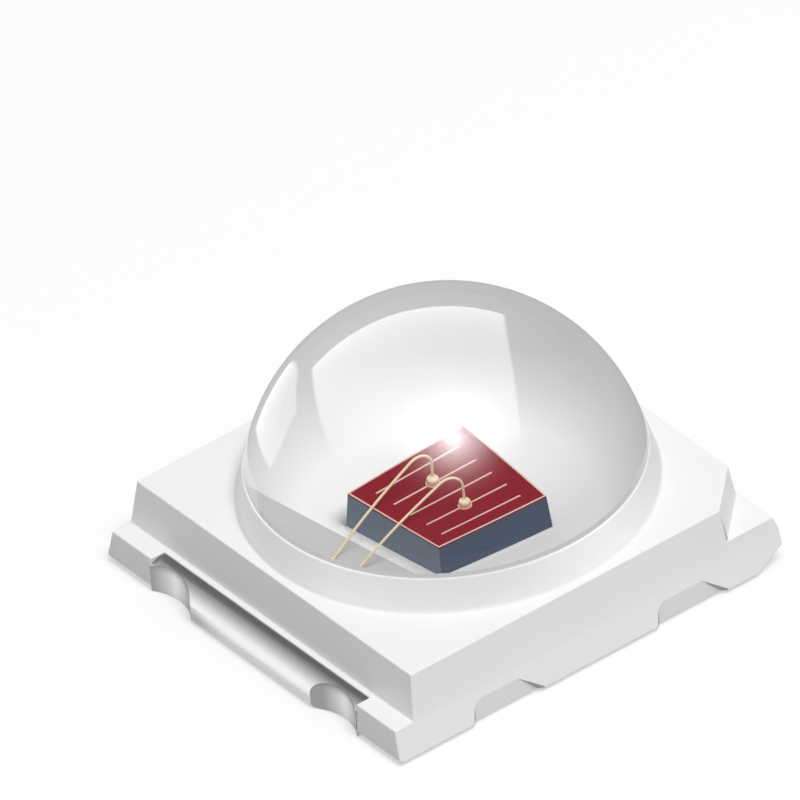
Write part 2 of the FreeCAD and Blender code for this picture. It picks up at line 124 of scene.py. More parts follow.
# %% The tree that the nodes go into
class Tree:
    """The node tree of a material or a world."""

    def __init__(self, owner):
        owner.use_nodes = True
        self.tree = owner.node_tree
        self.tree.nodes.clear()

    def node(self, kind, settings=None, sockets=None, output=0):
        """Adds a node, sets it up, fills its sockets and gives back one of its outputs."""
        made = self.tree.nodes.new("ShaderNode" + kind)
        for name, setting in (settings or {}).items():
            if name == "stops":
                self.set_stops(made.color_ramp, setting)
            else:
                setattr(made, name, setting)
        for name, value in (sockets or {}).items():
            if isinstance(value, Wire):
                self.tree.links.new(value.socket, made.inputs[name])
            else:
                made.inputs[name].default_value = value
        return Wire(self, made.outputs[output]) if made.outputs else made

    @staticmethod
    def set_stops(ramp, stops):
        """Puts grey stops of (place, level) on a colour ramp."""
        while len(ramp.elements) < len(stops):
            ramp.elements.new(0.5)
        for element, (place, level) in zip(ramp.elements, stops):
            element.position = place
            element.color = grey(level)

    def mix(self, factor, first, second):
        """A blend of two colours."""
        sockets = {"Factor": factor, "A": first, "B": second}
        return self.node("Mix", {"data_type": "RGBA"}, sockets, 2)

    def vectors(self, operation, first, second=(0, 0, 0), output="Vector"):
        """Vector Math on one vector or two."""
        return self.node("VectorMath", {"operation": operation}, {0: first, 1: second}, output)

    def surface(self, shader):
        self.node("OutputMaterial", sockets={"Surface": shader})


# %% [markdown]
# Four short helpers save writing: a colour, a grey, a new material with its tree, and an object that
# gets one material all over.

# %% Colours and materials
def rgb(red, green, blue):
    return (red, green, blue, 1)


def grey(level):
    return rgb(level, level, level)


def new_material(name):
    material = bpy.data.materials.new(name)
    return material, Tree(material)


def dress(thing, material):
    """Gives an object one material all over."""
    thing.data.materials.clear()
    thing.data.materials.append(material)
    print(f"{thing.name} is finished as {material.name}")


# %% [markdown]
# The photograph looks down on the corner between the two near sides, with hardly any perspective, so
# an orthographic camera suits it. It is placed by turning and raising it round the part and then
# rolling it a little, because the photograph stands slightly tilted. The collar's radius is the
# measure for the width of the view and for how far the part stands off the picture's middle.

# %% The camera
TURN, RAISE, ROLL = (math.radians(angle) for angle in (-34.83, 36.81, 5.39))
COLLAR_RADIUS = 1.64 * MM
TOP_FACE = 0.69 * MM
VIEW_WIDTH = 3.735 * COLLAR_RADIUS
AIM_UP, AIM_RIGHT = 0.3973, -0.2269
CAMERA_DISTANCE = 0.05
PICTURE_WIDTH = 800

flat = Vector((math.cos(TURN), math.sin(TURN), 0))
back = Vector((
    math.sin(TURN) * math.cos(RAISE), -math.cos(TURN) * math.cos(RAISE), math.sin(RAISE),
))
steep = back.cross(flat)
view_right = math.cos(ROLL) * flat - math.sin(ROLL) * steep
view_up = math.sin(ROLL) * flat + math.cos(ROLL) * steep
aim = Vector((0, 0, TOP_FACE)) + COLLAR_RADIUS * (AIM_UP * view_up + AIM_RIGHT * view_right)

view = bpy.data.cameras.new("camera")
view.type = "ORTHO"
view.ortho_scale = VIEW_WIDTH
view.clip_start, view.clip_end = 0.001, 1
camera = bpy.data.objects.new("camera", view)
bpy.context.collection.objects.link(camera)
facing_part = Matrix((view_right, view_up, back)).transposed().to_4x4()
camera.matrix_world = Matrix.Translation(aim + back * CAMERA_DISTANCE) @ facing_part
bpy.context.scene.camera = camera
print("pixels per mm:", round(PICTURE_WIDTH / (VIEW_WIDTH / MM), 1))

# %% [markdown]
# The part stands on a pale floor in light that is even from everywhere. Rays that look straight at
# the background, or by way of a mirror or glass, should see plain white, and only a polished mirror
# should see the studio's lights. Light Path tells the kinds of rays apart, so each light can be made
# for the rays that need it. Its answers come as masks of 0 and 1.

# %% Kinds of rays
scene = bpy.context.scene
scene.view_settings.view_transform = "Standard"


def ray(tree, kind):
    """1 for rays of a kind that Light Path names, and 0 for the rest."""
    return tree.node("LightPath", output=kind)


def mirrored(tree):
    """1 for rays that a polished surface threw back and that met no glass on the way."""
    return ray(tree, "Is Singular Ray") * (1 - ray(tree, "Is Transmission Ray"))


def sees_background(tree):
    """1 for rays from the camera, straight or by way of gloss and glass, 0 for rays that gather
    light for a matt surface, also when they leave through glass, and for a polished mirror."""
    looks = ray(tree, "Is Glossy Ray").at_least(ray(tree, "Is Transmission Ray"))
    looks = looks * ray(tree, "Diffuse Depth").below(0.5)
    return ray(tree, "Is Camera Ray").at_least(looks * (1 - mirrored(tree)))


# %% [markdown]
# A photographer hangs a tall soft window behind a shiny part, a strip beside it and a small lamp
# above, keeps the rest of the room dim, and shapes the part with what it mirrors of them. Only the
# polished dome should show them here, so they aren't lamps but light in the world, and low down on
# the floor, that only mirrored rays see. A window is where a few caps of the ball of directions
# overlap: each has its pole, how far the cap reaches down from it, and how soft its rim is.

# %% The window and the strip
WINDOW = [
    ((-0.457, -0.657, 0.599), -0.53, 0.012),
    ((-0.894, 0.384, 0.231), -0.42, 0.015),
    ((0.613, -0.526, 0.590), -0.43, 0.015),
    ((0.417, 0.517, 0.747), 0.45, 0.30),
]
STRIP = [
    ((-0.457, -0.657, 0.599), -0.895, 0.006),
    ((-0.480, 0.587, -0.652), 0.572, 0.012),
    ((0.026, 0.986, -0.162), 0.875, 0.012),
    ((0.416, -0.023, 0.909), -0.389, 0.02),
]
WINDOW_LEVEL, STRIP_LEVEL = 3.6, 1.6


def overlap(tree, toward, caps):
    """1 for directions inside all the caps, falling to 0 across their rims."""
    inside = 1
    for pole, reach, rim in caps:
        along = tree.vectors("DOT_PRODUCT", toward, pole, "Value")
        inside = inside * tree.node("MapRange", {"interpolation_type": "SMOOTHSTEP"}, {
            "Value": along, "From Min": reach - rim, "From Max": reach + rim})
    return inside


print("window and strip:", WINDOW_LEVEL, "and", STRIP_LEVEL, "times white")

# %% [markdown]
# The small lamp is a bright core with a wide haze round it, each a power of how nearly a direction
# points at the lamp: the higher the power, the tighter the spot.

# %% The small lamp and all three together
SMALL_LAMP = Vector((-0.18, -0.405, 0.897)).normalized()
CORE_LEVEL, CORE_TIGHT = 9, 250
HAZE_LEVEL, HAZE_TIGHT = 14.5, 24


def studio_lights(tree, toward):
    """How bright the window, the strip and the small lamp are in a direction."""
    near_lamp = tree.vectors("DOT_PRODUCT", toward, SMALL_LAMP, "Value").at_least(0)
    small_lamp = near_lamp ** CORE_TIGHT * CORE_LEVEL + near_lamp ** HAZE_TIGHT * HAZE_LEVEL
    window = overlap(tree, toward, WINDOW) * WINDOW_LEVEL
    return window + overlap(tree, toward, STRIP) * STRIP_LEVEL + small_lamp


print("small lamp towards:", [round(share, 3) for share in SMALL_LAMP])

# %% [markdown]
# The world's strength is a sum of parts. Every ray meets the even light. Rays that look at the
# background meet white, and rays that the polished dome mirrors meet the window, the strip and the
# small lamp too.

# %% The world
EVEN_LIGHT = 0.39
world = bpy.data.worlds.new("studio")
scene.world = world
tree = Tree(world)
strength = EVEN_LIGHT + (1 - EVEN_LIGHT) * sees_background(tree)
toward = tree.node("TexCoord", output="Generated")
strength = strength + mirrored(tree) * studio_lights(tree, toward)
sky = tree.node("Background", sockets={"Color": grey(1), "Strength": strength})
tree.node("OutputWorld", sockets={"Surface": sky})
print("even light:", EVEN_LIGHT, "of white")

# %% [markdown]
# The floor is a large pale plane, a hair below the solder pads so that the two don't lie in one
# plane. Half of its tone is a matt grey that the part can shade, and the rest is glow that only the
# background rays see, so it looks white and still keeps the shadow. Low on the dome the mirrored
# rays run down to the floor: it shows them the same studio lights, by their direction from the dome.

# %% The floor
FLOOR_SIZE, HAIR = 0.4, 0.003 * MM
FLOOR_TONE, FLOOR_GLOW = 0.45, 0.54
DOME_SIDE = (-1.0 * MM, 0.8 * MM, 1.6 * MM)
bpy.ops.mesh.primitive_plane_add(size=FLOOR_SIZE, location=(0, 0, cad_low.z - HAIR))
floor = bpy.context.object
floor.name = "floor"
pale_floor, tree = new_material("pale_floor")
place = tree.node("NewGeometry", output="Position")
from_dome = tree.vectors("NORMALIZE", tree.vectors("SUBTRACT", place, DOME_SIDE))
glow = FLOOR_GLOW * sees_background(tree) + mirrored(tree) * studio_lights(tree, from_dome)
matt = tree.node("BsdfDiffuse", sockets={"Color": grey(FLOOR_TONE)})
glowing = tree.node("Emission", sockets={"Color": grey(1), "Strength": glow})
tree.surface(tree.node("AddShader", sockets={0: matt, 1: glowing}))
dress(floor, pale_floor)

# %% [markdown]
# One soft lamp hangs nearly overhead, a little towards the near right side. It makes the top the
# brightest face and the left side the darkest, and it leaves a soft shadow under the part. A sun
# would do the same with one hard shadow edge; an area lamp over 20 part widths away is nearly as even
# and keeps the shadow soft. SOFT_SHARE is what it adds to a white surface that faces it, beside the
# even light. Shiny and clear surfaces don't show the lamp itself, because the studio lights do that.

# %% The soft lamp
SOFT_AIM = Vector((0, 0, 1.0 * MM))
SOFT_LAMP = Vector((-0.03, -0.29, 0.67)).normalized()
SOFT_DISTANCE, SOFT_SIZE, SOFT_SHARE = 0.09, 0.042, 0.75

lamp_data = bpy.data.lights.new("soft_lamp", "AREA")
lamp_data.size = SOFT_SIZE
lamp_data.energy = SOFT_SHARE * (math.pi * SOFT_DISTANCE) ** 2
lamp = bpy.data.objects.new("soft_lamp", lamp_data)
lamp.location = SOFT_AIM + SOFT_LAMP * SOFT_DISTANCE
lamp.rotation_euler = SOFT_LAMP.to_track_quat("Z", "Y").to_euler()
lamp.visible_camera = lamp.visible_glossy = lamp.visible_transmission = False
bpy.context.collection.objects.link(lamp)
print("lamp height in mm:", round(lamp.location.z / MM, 1), "watts:", round(lamp_data.energy, 4))

# %% [markdown]
# ## Shapes from outlines
#
# The solid nodes have the right form, but their round edges are cut into few flats and every edge is
# knife sharp. Moulded plastic and stamped metal catch light along small round edges, so the pieces
# that show are made again, finer, from the same dimensions. One helper joins two outlines with the
# same number of points into a closed mesh. That gives straight prisms, drafted blocks and tapered
# cutters, and booleans then add or cut them.

# %% Closed meshes between two outlines
def new_piece(name, shape):
    """Turns a bmesh into an object in the scene."""
    bmesh.ops.recalc_face_normals(shape, faces=shape.faces)
    mesh = bpy.data.meshes.new(name)
    shape.to_mesh(mesh)
    shape.free()
    piece = bpy.data.objects.new(name, mesh)
    bpy.context.collection.objects.link(piece)
    return piece


def loft(name, start, end):
    """A closed mesh between two outlines of as many points each, given in millimetres."""
    shape = bmesh.new()
    first = [shape.verts.new(Vector(point) * MM) for point in start]
    last = [shape.verts.new(Vector(point) * MM) for point in end]
    shape.faces.new(first)
    shape.faces.new(last)
    for here in range(len(first)):
        there = (here + 1) % len(first)
        shape.faces.new([first[here], first[there], last[there], last[here]])
    return new_piece(name, shape)


# %% [markdown]
# Most pieces are prisms along one of the three axes, so each axis gets a short helper that takes the
# outline flat, in two coordinates. Two more give the outlines that come up often.

# %% Prisms and outlines
def along_y(name, section, low, high):
    """A prism whose section is given as (x, z)."""
    return loft(name, [(x, low, z) for x, z in section], [(x, high, z) for x, z in section])


def along_x(name, section, low, high):
    """A prism whose section is given as (y, z)."""
    return loft(name, [(low, y, z) for y, z in section], [(high, y, z) for y, z in section])


def upright(name, plan, low, high):
    """A prism whose plan is given as (x, y)."""
    return loft(name, [(x, y, low) for x, y in plan], [(x, y, high) for x, y in plan])


def rectangle(left, right, low, high):
    return [(left, low), (right, low), (right, high), (left, high)]


def round_corner(centre, radius, start, end, steps):
    """Points on an arc from one angle to the other, in degrees."""
    angles = [math.radians(start + (end - start) * step / steps) for step in range(steps + 1)]
    return [(centre[0] + radius * math.cos(a), centre[1] + radius * math.sin(a)) for a in angles]


# %% [markdown]
# Booleans and bevels are modifiers. They are applied at once, so that the next step works on a plain
# mesh. The exact solver copes with faces that lie in one plane, which the fast one doesn't, but it
# leaves points a hair apart, and a weld joins those.

# %% Booleans and welds
def apply_modifier(piece, kind, **settings):
    """Adds a modifier, sets it up and turns its result into the piece's mesh."""
    modifier = piece.modifiers.new(kind.lower(), kind)
    for name, value in settings.items():
        setattr(modifier, name, value)
    shown = bpy.context.evaluated_depsgraph_get()
    result = bpy.data.meshes.new_from_object(piece.evaluated_get(shown))
    piece.modifiers.clear()
    piece.data = result


def combine(piece, operation, *others, keep=False):
    """INTERSECT, DIFFERENCE or UNION with other closed meshes, which go unless they are kept."""
    for other in others:
        apply_modifier(piece, "BOOLEAN", operation=operation, object=other, solver="EXACT")
        if not keep:
            bpy.data.objects.remove(other)


def weld(piece, gap=0.0001):
    """Joins points closer than the gap, in mm, and drops the slivers between them."""
    shape = bmesh.new()
    shape.from_mesh(piece.data)
    bmesh.ops.remove_doubles(shape, verts=shape.verts, dist=gap * MM)
    bmesh.ops.dissolve_degenerate(shape, edges=shape.edges, dist=gap * MM)
    shape.to_mesh(piece.data)
    shape.free()


# %% [markdown]
# A bevel can choose its edges by angle alone, but some pieces are soft only where they stick out, so
# the edges get a weight here, by angle and by place. Smooth shading would then round whole faces.
# Weighted normals keep the big faces flat up to their edges, and the bevel alone looks round.

# %% Soft edges and shading
def soften(piece, width, angle, outside=0):
    """Rounds the edges that turn by more than the angle and lie at least so far out along X."""
    shape = bmesh.new()
    shape.from_mesh(piece.data)
    weight = shape.edges.layers.float.new("bevel_weight_edge")
    for edge in shape.edges:
        far_out = min(abs(vert.co.x) for vert in edge.verts) >= outside * MM
        edge[weight] = far_out and edge.calc_face_angle() > math.radians(angle)
    shape.to_mesh(piece.data)
    shape.free()
    apply_modifier(
        piece, "BEVEL",
        width=width * MM, segments=2, limit_method="WEIGHT", use_clamp_overlap=False,
    )


def shade(piece, angle=40):
    """Smooth shading, sharp at edges over the angle, in which the big faces weigh most."""
    piece.data.shade_smooth()
    piece.data.set_sharp_from_angle(angle=math.radians(angle))
    piece.modifiers.new("flat_faces", "WEIGHTED_NORMAL").keep_sharp = True


# %% [markdown]
# A finished piece takes the place of its solid node: it gets its material, rides on the one body
# that the part has, and the node is hidden. Then it is measured. A closed mesh has no open edges,
# and its volume shows at once whether a cut has gone wrong.

# %% Measuring and settling a piece
def tell(piece):
    """Prints what a mesh measures."""
    shape = bmesh.new()
    shape.from_mesh(piece.data)
    spots = [vert.co / MM for vert in shape.verts]
    low, high = ([round(end(s[axis] for s in spots), 3) for axis in range(3)] for end in (min, max))
    loose = sum(not edge.is_manifold for edge in shape.edges)
    volume = shape.calc_volume() / MM ** 3
    print(f"{piece.name}: {len(shape.faces)} faces, {loose} open edges, {volume:.4f} mm3,", low, high)
    shape.free()


def settle(piece, node, material):
    """Puts a finished piece in the place of its CAD node."""
    dress(piece, material)
    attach(piece, "root")
    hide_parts(node)
    tell(piece)


# %% [markdown]
# ## The two leads
#
# Two leads of plated copper carry the current in and out: the chip sits on one and the wires end on
# the other. The housing, the lens and the wires all fit round them, so the sizes that the pieces
# share come first. CLEAR is how far a cutter runs past what it cuts, so that no skin is left.

# %% Sizes that the pieces share, in millimetres
FOOT_Z, PARTING_Z, NOSE_Z, TOP_Z, RIM_Z = 0.03, 0.30, 0.41, 0.69, 0.975
TOP_HALF = 1.705
CAVITY_FLOOR_Z, CAVITY_FLOOR_RADIUS = 0.42, 1.2297
LEAD_HALF = CAVITY_FLOOR_RADIUS + 0.05
TERMINAL_X, NOSE_X = 1.9898, 1.8043
BOND_EDGE_X, DIE_EDGE_X = 0.55, 0.42
CLEAR, FAR = 0.1, 2.2


def slope(angle):
    return math.tan(math.radians(angle))


# %% [markdown]
# Each lead is stamped from one strip. The part under the cavity is thick, the outer end is a rounded
# terminal, and the half-round notch at each end of the terminal is what is left of a hole that was
# punched before the strip was cut. A section drawn once and pushed along Y gives the body, and two
# upright rods cut the notches. The step under the inner edge is what locks the lead in the moulding.
# The wire lead is the same shape mirrored, a little longer and with a deeper step.

# %% Two leads from one section
TERMINAL_Z, SHOULDER, TUCK = 0.28, 0.14, 0.045
NOTCH_RADIUS, NOTCH_DEPTH, NOTCH_WIDTH = 0.44, 0.105, 0.49
NOTCH_Y = LEAD_HALF - NOTCH_WIDTH / 2
LOCK_Z, BOND_LOCK, DIE_LOCK = 0.20, 0.20, 0.12
TUCK_STEPS, SHOULDER_STEPS, NOTCH_STEPS = 8, 20, 160
ROD_TOP = 0.5


def make_lead(name, outer_x, inner_x, lock_step):
    """A lead whose terminal is towards +X and whose inner edge is at inner_x."""
    shoulder = (outer_x - SHOULDER, TERMINAL_Z - SHOULDER)
    section = (
        round_corner((outer_x - TUCK, TUCK), TUCK, 270, 360, TUCK_STEPS)
        + round_corner(shoulder, SHOULDER, 0, 90, SHOULDER_STEPS)
        + [(LEAD_HALF, TERMINAL_Z), (LEAD_HALF, CAVITY_FLOOR_Z), (inner_x, CAVITY_FLOOR_Z)]
        + [(inner_x, LOCK_Z), (inner_x + lock_step, LOCK_Z), (inner_x + lock_step, 0)]
    )
    lead = along_y(name, section, -LEAD_HALF, LEAD_HALF)
    for side in (-1, 1):
        centre = (outer_x + NOTCH_RADIUS - NOTCH_DEPTH, side * NOTCH_Y)
        circle = round_corner(centre, NOTCH_RADIUS, 0, 360, NOTCH_STEPS)[:-1]
        combine(lead, "DIFFERENCE", upright("rod", circle, -CLEAR, ROD_TOP))
    return lead


die_lead = make_lead("chip_lead", NOSE_X, -DIE_EDGE_X, DIE_LOCK)
bond_lead = make_lead("wire_lead", TERMINAL_X, BOND_EDGE_X, BOND_LOCK)
bond_lead.data.transform(Matrix.Scale(-1, 4, (1, 0, 0)))
bond_lead.data.flip_normals()
print("leads, in mm along X:", -DIE_EDGE_X, "to", NOSE_X, "and", -TERMINAL_X, "to", -BOND_EDGE_X)

# %% [markdown]
# ## The housing
#
# The housing is one moulding. Its sides lean in above the parting line and flare out below it, as
# they must so that both halves of the mould let go. A loft from foot to top would need every corner
# point worked out. The section along X pushed sideways, and cut with the section along Y, gives all
# four sides at once and keeps each draft a value of its own.

# %% The block with its drafted sides
UPPER_DRAFT, SIDE_FLARE, FLANGE_DRAFT = slope(8), slope(14), slope(4.5)
LEDGE_OUT, FOOT_BEVEL = 0.18, 0.025
NOSE_LEDGE, NOSE_FACE, NOSE_UNDERCUT = 0.02, 0.135, 0.28
PARTING_HALF = TOP_HALF + (TOP_Z - PARTING_Z) * UPPER_DRAFT
FOOT_HALF = PARTING_HALF + (PARTING_Z - FOOT_Z) * SIDE_FLARE
LEDGE_X = PARTING_HALF + LEDGE_OUT
FLANGE_FOOT_X = LEDGE_X + (PARTING_Z - FOOT_Z) * FLANGE_DRAFT
NOSE_WALL_X = TOP_HALF + (TOP_Z - NOSE_Z) * UPPER_DRAFT

housing = along_y("white_housing", [
    (-(FLANGE_FOOT_X - FOOT_BEVEL), FOOT_Z),
    (NOSE_X - NOSE_UNDERCUT, FOOT_Z),
    (NOSE_X, PARTING_Z - NOSE_FACE),
    (NOSE_X, PARTING_Z),
    (NOSE_WALL_X + NOSE_LEDGE, NOSE_Z),
    (NOSE_WALL_X, NOSE_Z),
    (TOP_HALF, TOP_Z),
    (-TOP_HALF, TOP_Z),
    (-PARTING_HALF, PARTING_Z),
    (-LEDGE_X, PARTING_Z),
    (-FLANGE_FOOT_X, FOOT_Z + FOOT_BEVEL),
], -FAR, FAR)
combine(housing, "INTERSECT", along_x("sides", [
    (-FOOT_HALF, FOOT_Z), (FOOT_HALF, FOOT_Z), (PARTING_HALF, PARTING_Z),
    (TOP_HALF, TOP_Z), (-TOP_HALF, TOP_Z), (-PARTING_HALF, PARTING_Z),
], -FAR, FAR))
print("housing, half widths in mm:", round(TOP_HALF, 3), round(PARTING_HALF, 3), round(FOOT_HALF, 3))

# %% [markdown]
# One corner of the upper body is cut off to mark the polarity. Its cut has the mould's draft too, so
# the cutter is a loft between two triangles, the lower one further out. A slot in the near left side
# and one in the far right side let the terminals out. The edges are rounded only now, so that every
# edge of the mould gets the same small radius.

# %% The polarity corner and the slots
CHAMFER, EDGE_ROUND = 0.40, 0.008
SLOT_X, NOSE_SLOT_X = PARTING_HALF + 0.05, NOSE_X - 0.10


def outside_corner(height):
    """The triangle outside the chamfer at a height. The draft moves it out further down."""
    line = 2 * TOP_HALF - CHAMFER + (TOP_Z - height) * UPPER_DRAFT * math.sqrt(2)
    return [(line - FAR, -FAR, height), (FAR, -FAR, height), (FAR, FAR - line, height)]


slot = rectangle(-FAR, -SLOT_X, -LEAD_HALF, LEAD_HALF)
nose_slot = rectangle(NOSE_SLOT_X, FAR, -LEAD_HALF, LEAD_HALF)
combine(
    housing, "DIFFERENCE",
    loft("corner", outside_corner(NOSE_Z), outside_corner(TOP_Z + CLEAR)),
    upright("slot", slot, -CLEAR, PARTING_Z + CLEAR / 2),
    upright("nose_slot", nose_slot, -CLEAR, PARTING_Z),
)
soften(housing, EDGE_ROUND, angle=18)
print("faces after the soft edges:", len(housing.data.polygons))

# %% [markdown]
# Each long side has two shallow recesses in its foot. Their floors are upright while the side leans,
# so they fade out upward, and their ends slope. The cutter is a loft from the outline on the recess
# floor to the same outline grown outwards, which gives all sloping ends at once.

# %% An outline that grows
def grown(outline, reach):
    """An outline, anticlockwise, with every edge moved out by reach."""
    result = []
    count = len(outline)
    for number in range(count):
        before, here, after = (Vector(outline[(number + step) % count]) for step in (-1, 0, 1))
        first, second = (here - before).normalized(), (after - here).normalized()
        out = Vector((first.y + second.y, -first.x - second.x)).normalized()
        result.append(tuple(here + out * reach / out.dot(Vector((first.y, -first.x)))))
    return result


# %% [markdown]
# The recesses all have one shape, which is drawn from its left end. Its right end slants, and its
# left end has a rounded top corner.

# %% The recesses in the long sides
RECESS_Z, RECESS_WIDTH, RECESS_SLANT, RECESS_CORNER = 0.21, 0.59, 0.165, 0.08
RECESS_SPACING, RECESS_END, RECESS_STEPS = 1.79, slope(48), 10
RECESS_Y = PARTING_HALF + (PARTING_Z - RECESS_Z) * SIDE_FLARE

for side in (-1, 1):
    for centre in (-RECESS_SPACING / 2, RECESS_SPACING / 2):
        left, right = centre - RECESS_WIDTH / 2, centre + RECESS_WIDTH / 2
        corner = (left + RECESS_CORNER, RECESS_Z - RECESS_CORNER)
        outline = [(left, FOOT_Z - CLEAR), (right, FOOT_Z - CLEAR), (right, FOOT_Z)]
        outline += [(right - RECESS_SLANT, RECESS_Z)]
        outline += round_corner(corner, RECESS_CORNER, 90, 180, RECESS_STEPS)
        wide = grown(outline, CLEAR * RECESS_END)
        combine(housing, "DIFFERENCE", loft(
            "recess",
            [(x, side * RECESS_Y, z) for x, z in outline],
            [(x, side * (RECESS_Y + CLEAR), z) for x, z in wide],
        ))
print("recess depth at the foot in mm:", round(FOOT_HALF - RECESS_Y, 3))

# %% [markdown]
# The collar, the cavity, the cutters for both and later the lens are all round the lens axis. A
# screw modifier could turn them, but it leaves open ends, so one helper turns a profile into a
# closed mesh. Its 256 steps keep the outline smooth from close by.

# %% A mesh turned round the lens axis
AROUND = 256


def turned(name, profile):
    """A closed mesh turned from a profile of (radius, height) that starts and ends on the axis."""
    shape = bmesh.new()
    rings = []
    for radius, height in profile:
        angles = [2 * math.pi * step / AROUND for step in range(AROUND if radius else 1)]
        ring = [(radius * math.cos(a), radius * math.sin(a), height) for a in angles]
        rings.append([shape.verts.new(Vector(spot) * MM) for spot in ring])
    for lower, upper in zip(rings, rings[1:]):
        for step in range(AROUND):
            following = (step + 1) % AROUND
            corners = [lower[step % len(lower)], lower[following % len(lower)],
                       upper[following % len(upper)], upper[step % len(upper)]]
            shape.faces.new(list(dict.fromkeys(corners)))
    return new_piece(name, shape)


# %% [markdown]
# The collar holds the lens while it is cast. It has a small fillet where it leaves the top face and
# a rounded rim, both of which catch the light. It is added as a plug that reaches a little into the
# block, and its profile goes from the plug over the fillet and the lean of the side to the rim.

# %% The collar
COLLAR_FOOT, COLLAR_LEAN, PLUG = 1.64, slope(13.8), 0.05
COLLAR_TOP = COLLAR_FOOT - (RIM_Z - TOP_Z) * COLLAR_LEAN
FILLET, RIM_ROUND = 0.02, 0.012

combine(housing, "UNION", turned("collar", [
    (0, TOP_Z - PLUG),
    (COLLAR_FOOT + FILLET, TOP_Z - PLUG),
    (COLLAR_FOOT + FILLET, TOP_Z - 0.001),
    (COLLAR_FOOT + FILLET * 0.45, TOP_Z + 0.001),
    (COLLAR_FOOT + FILLET * 0.1, TOP_Z + 0.006),
    (COLLAR_FOOT - FILLET * COLLAR_LEAN, TOP_Z + FILLET),
    (COLLAR_TOP + RIM_ROUND * COLLAR_LEAN, RIM_Z - RIM_ROUND),
    (COLLAR_TOP - RIM_ROUND * 0.1, RIM_Z - RIM_ROUND * 0.3),
    (COLLAR_TOP - RIM_ROUND * 0.6, RIM_Z),
    (0, RIM_Z),
]))
print("collar radius in mm:", COLLAR_FOOT, "at its foot,", round(COLLAR_TOP, 3), "at its rim")

# %% [markdown]
# The cavity is cut down to the leads, with walls that open upwards to throw the light forwards and
# that leave only a thin lip at the top. Last, the leads themselves cut their own bed in the
# moulding, so that metal and plastic meet without a gap.

# %% The cavity and the bed of the leads
LIP = 0.09
MOUTH_RADIUS = COLLAR_TOP - LIP
CAVITY_LEAN = (MOUTH_RADIUS - CAVITY_FLOOR_RADIUS) / (RIM_Z - CAVITY_FLOOR_Z)

combine(housing, "DIFFERENCE", turned("cavity", [
    (0, CAVITY_FLOOR_Z),
    (CAVITY_FLOOR_RADIUS, CAVITY_FLOOR_Z),
    (MOUTH_RADIUS, RIM_Z),
    (MOUTH_RADIUS + CLEAR * CAVITY_LEAN, RIM_Z + CLEAR),
    (0, RIM_Z + CLEAR),
]))
combine(housing, "DIFFERENCE", die_lead, bond_lead, keep=True)
weld(housing)
shade(housing, angle=12)
print("cavity radius in mm:", CAVITY_FLOOR_RADIUS, "to", round(MOUTH_RADIUS, 3))

# %% [markdown]
# A punch leaves a rounded edge where it enters the strip, which shows on the terminals as a bright
# line. Only the outer ends get it: in the cavity the resin stands flush with the metal, and a
# rounded edge there would show as a dark groove under the lens.

# %% Soft edges on the terminals
PUNCH_ROUND = 0.004
for lead in (die_lead, bond_lead):
    soften(lead, PUNCH_ROUND, angle=50, outside=LEAD_HALF - 0.001)
    weld(lead)
    shade(lead)
    print(f"{lead.name}: {len(lead.data.polygons)} faces")

# %% [markdown]
# ## White moulding
#
# The finishes all start from noise on the part's own coordinates, so it stays with the part from
# any side, and from masks that say where on the part a tone belongs. These helpers give the noise,
# which can be drawn out along an axis, a point's place, and masks from numbers or millimetres.

# %% Noise, masks and places
def streaks(tree, scale, stretch=(1, 1, 1)):
    """Noise on the object's own coordinates, drawn out or squeezed along each axis."""
    spot = tree.node("TexCoord", output="Object")
    spot = tree.node("Mapping", sockets={"Vector": spot, "Scale": stretch})
    sockets = {"Vector": spot, "Scale": scale, "Detail": 3, "Roughness": 0.6}
    return tree.node("TexNoise", sockets=sockets)


def ramp(tree, value, low, high):
    """0 below low and 1 above high."""
    return tree.node("MapRange", sockets={"Value": value, "From Min": low, "From Max": high})


def between(tree, value, low, high):
    """0 below low and 1 above high, both in millimetres."""
    return ramp(tree, value, low * MM, high * MM)


def position(tree):
    """Where a point lies along X, Y and Z, in the part's own frame."""
    spot = tree.node("TexCoord", output="Object")
    return [tree.node("SeparateXYZ", sockets={"Vector": spot}, output=axis) for axis in "XYZ"]


def distance(first, second):
    """How far apart two places are, from their offsets along two axes."""
    return (first * first + second * second) ** 0.5


# %% [markdown]
# The collar gets two painted highlights: paler streaks at fixed places round it. They fade evenly
# to both sides, so each is a power of how nearly a point lies towards its middle, as seen from the
# lens axis: the higher the power, the narrower the highlight.

# %% Painted highlights round the collar
COLLAR_GLINTS = ((180, 6, 1.4), (279, 12, 1.0))


def painted_glints(along, across, radius):
    """How bright the painted highlights make a point, from the angle, tightness and strength of each.
    """
    glint = 0
    for angle, tight, strength in COLLAR_GLINTS:
        x, y = math.cos(math.radians(angle)), math.sin(math.radians(angle))
        facing = (along * x + across * y) / radius
        glint = facing.at_least(0) ** tight * strength + glint
    return glint


# %% [markdown]
# The steep ends of the recesses get painted shade, darker than the moulding round them. Nothing but
# their lean tells them apart, so the mask is made from where the surface faces: on the long sides'
# feet, away from the ends of the part, and turned towards X.

# %% Painted shade on the recess ends
def recess_end_shade(tree, along, across):
    """1 on the steep ends of the side recesses, where shade is painted."""
    facing = tree.node("NewGeometry", output="Normal")
    lean = abs(tree.node("SeparateXYZ", sockets={"Vector": facing}, output="X"))
    on_side = between(tree, abs(across), TOP_HALF, TOP_HALF + 0.01)
    inward = 1 - between(tree, abs(along), 1.5, 1.51)
    return on_side * inward * ramp(tree, lean, 0.3, 0.5)
